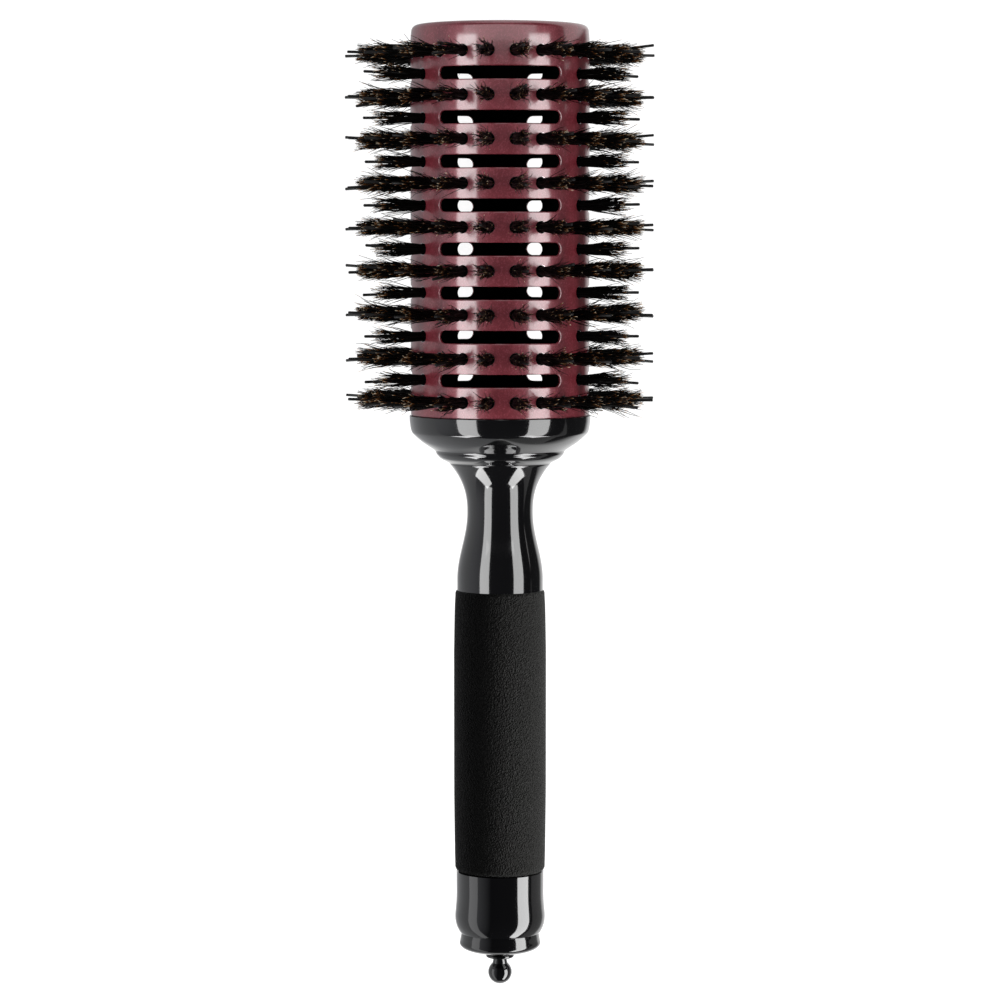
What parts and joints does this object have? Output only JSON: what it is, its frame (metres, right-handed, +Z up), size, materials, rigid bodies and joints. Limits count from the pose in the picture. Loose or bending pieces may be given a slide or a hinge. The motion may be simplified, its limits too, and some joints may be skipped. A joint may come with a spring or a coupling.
{
  "type": "round_barrel_brush",
  "caption": "Vented round hair brush with a metal barrel, boar bristle tufts with nylon pins, a turned handle with a foam grip and a pull-out sectioning pin.",
  "frame": {"origin": "centre of the bounding box at the surface under the lowest pin tips, as the brush lies on a table", "axes": "+Y runs along the brush's axis towards the barrel's open end, -Y towards the knob, +Z is up through the middle of a column of slots, +X is to the right seen from above with +Y away"},
  "size_m": [0.0866, 0.2704, 0.0865],
  "materials": {
    "barrel_metal": "satin",
    "core_plastic": "matte",
    "anchor_wire": "satin",
    "zinc_steel": "satin",
    "boar_bristle": "satin",
    "nylon_pin": "satin",
    "lacquered_wood": "gloss",
    "grip_foam": "matte",
    "black_moulding": "gloss",
    "bush_nylon": "matte",
    "pin_steel": "polished"
  },
  "bodies": {
    "brush": {"barrel_sleeve": "barrel_metal", "bristle_core": "core_plastic", "tuft_anchors": "anchor_wire", "core_hub": "core_plastic", "hub_washer": "zinc_steel", "hub_screw": "zinc_steel", "ring_tufts_1": "boar_bristle", "ring_tufts_2": "boar_bristle", "ring_tufts_3": "boar_bristle", "ring_tufts_4": "boar_bristle", "ring_tufts_5": "boar_bristle", "ring_tufts_6": "boar_bristle", "ring_tufts_7": "boar_bristle", "ring_tufts_8": "boar_bristle", "ring_tufts_9": "boar_bristle", "bridge_tufts_1": "boar_bristle", "bridge_tufts_2": "boar_bristle", "bridge_tufts_3": "boar_bristle", "bridge_tufts_4": "boar_bristle", "bridge_tufts_5": "boar_bristle", "bridge_tufts_6": "boar_bristle", "bridge_tufts_7": "boar_bristle", "bridge_tufts_8": "boar_bristle", "ring_pins_1": "nylon_pin", "ring_pins_2": "nylon_pin", "ring_pins_3": "nylon_pin", "ring_pins_4": "nylon_pin", "ring_pins_5": "nylon_pin", "ring_pins_6": "nylon_pin", "ring_pins_7": "nylon_pin", "ring_pins_8": "nylon_pin", "ring_pins_9": "nylon_pin", "bridge_pins_1": "nylon_pin", "bridge_pins_2": "nylon_pin", "bridge_pins_3": "nylon_pin", "bridge_pins_4": "nylon_pin", "bridge_pins_5": "nylon_pin", "bridge_pins_6": "nylon_pin", "bridge_pins_7": "nylon_pin", "bridge_pins_8": "nylon_pin", "handle_body": "lacquered_wood", "foam_grip": "grip_foam", "tail_ferrule": "black_moulding", "pin_bush": "bush_nylon"},
    "sectioning_tool": {"sectioning_pin": "pin_steel", "pin_knob": "black_moulding"}
  },
  "joints": [
    {"name": "pin_pull", "type": "slide", "parent": "brush", "child": "sectioning_tool", "axis": [0, -1, 0], "range_m": [0, 0.095]}
  ]
}
